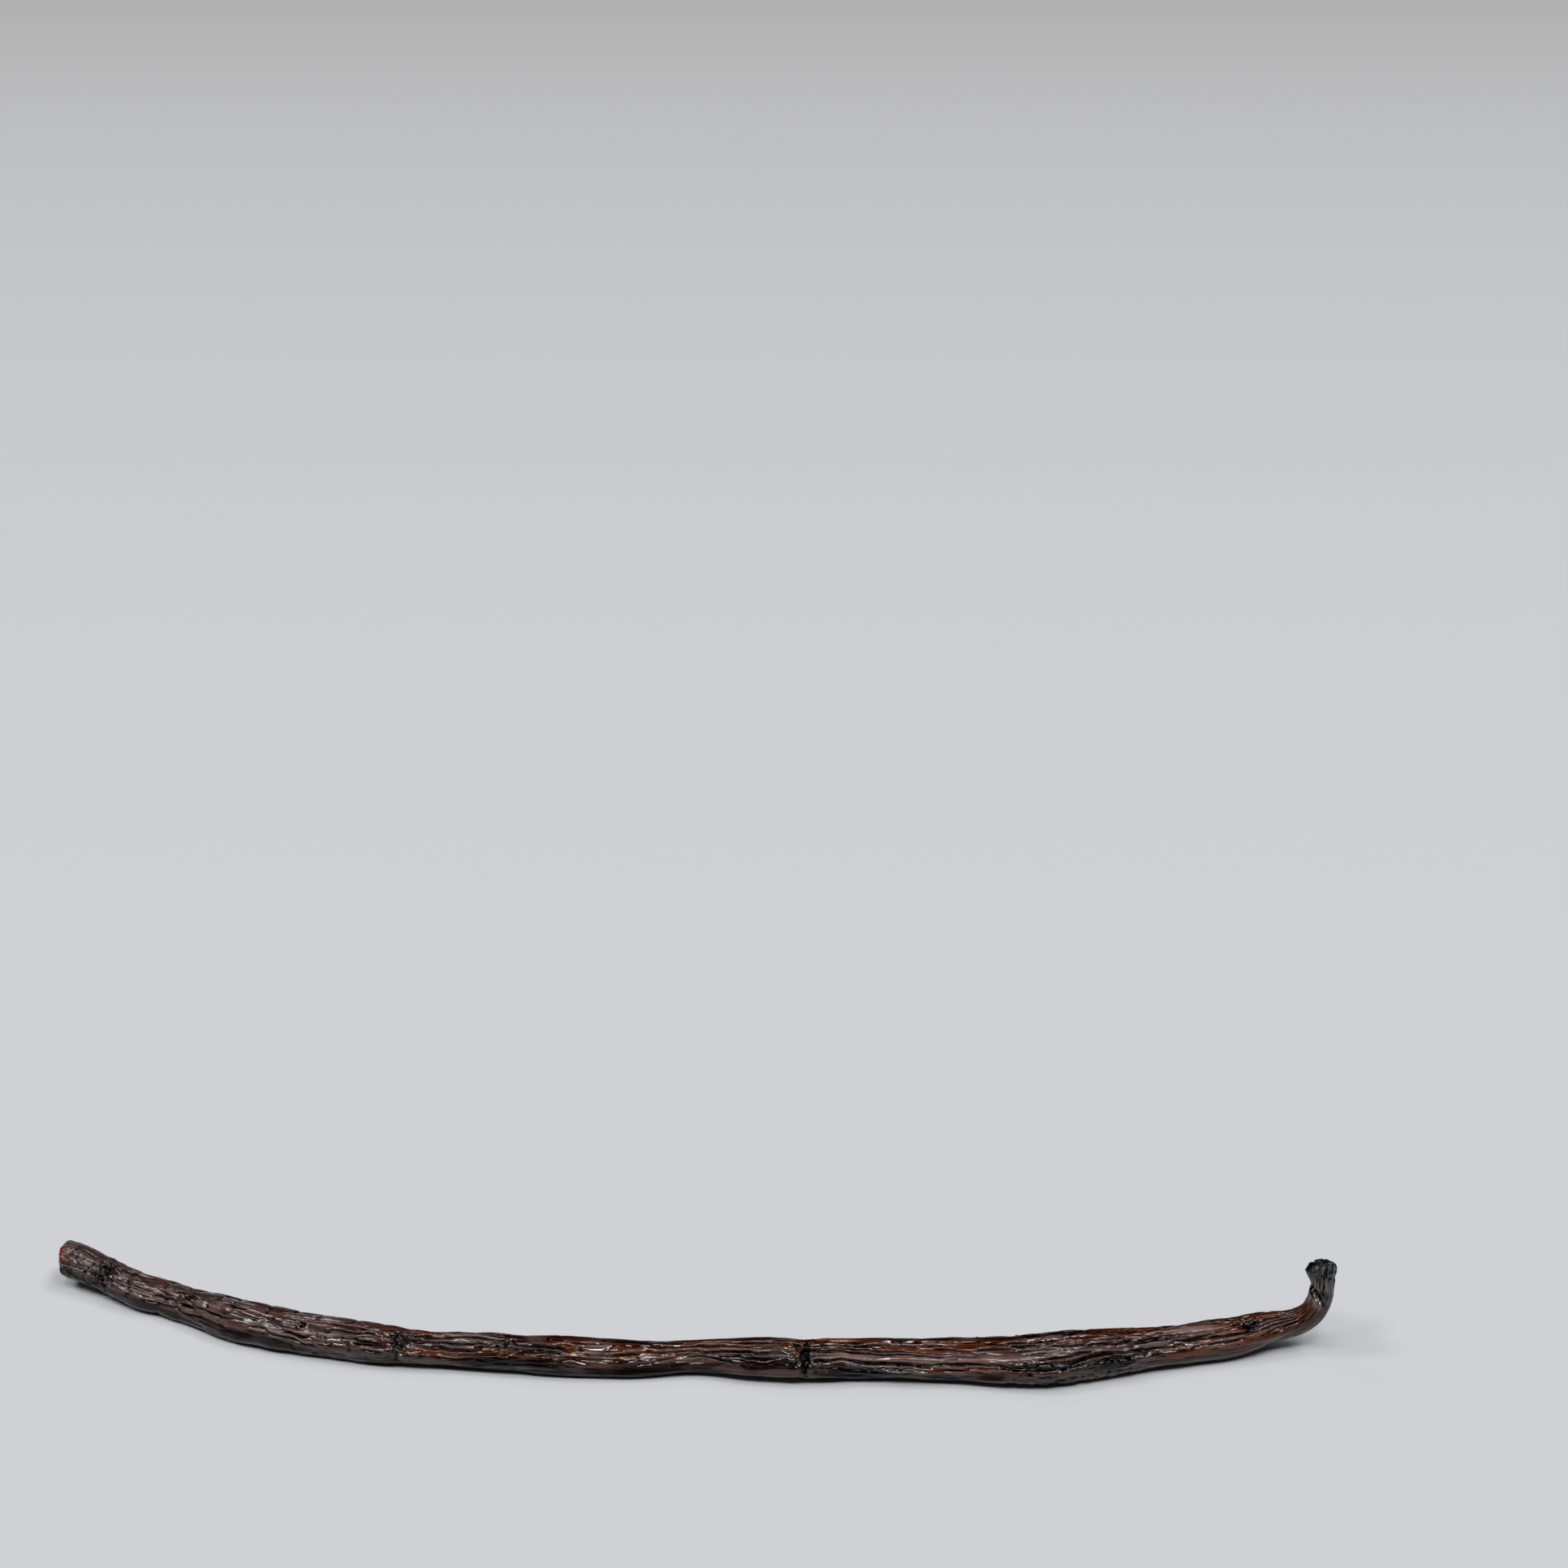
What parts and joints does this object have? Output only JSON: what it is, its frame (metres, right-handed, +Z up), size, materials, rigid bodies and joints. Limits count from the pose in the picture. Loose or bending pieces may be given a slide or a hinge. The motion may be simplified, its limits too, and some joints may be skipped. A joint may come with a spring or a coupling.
{
  "type": "vanilla pod",
  "caption": "Long, slender, wrinkled cured seed pod lying in a shallow arc, blunt at one end, with a thin neck that hooks upward to a small cap at the other.",
  "frame": {"origin": "middle of the pod's length and width, on the surface it rests on", "axes": "+X along the pod towards the stalk end, +Z up, the side that the stalk's hook turns to; the arc bulges towards -Y"},
  "size_m": [0.1646, 0.0298, 0.0127],
  "materials": {
    "cured_skin": "oily, wrinkled, almost black brown skin with a soft sheen"
  },
  "bodies": {
    "root": {"pod": "cured_skin"}
  },
  "joints": []
}
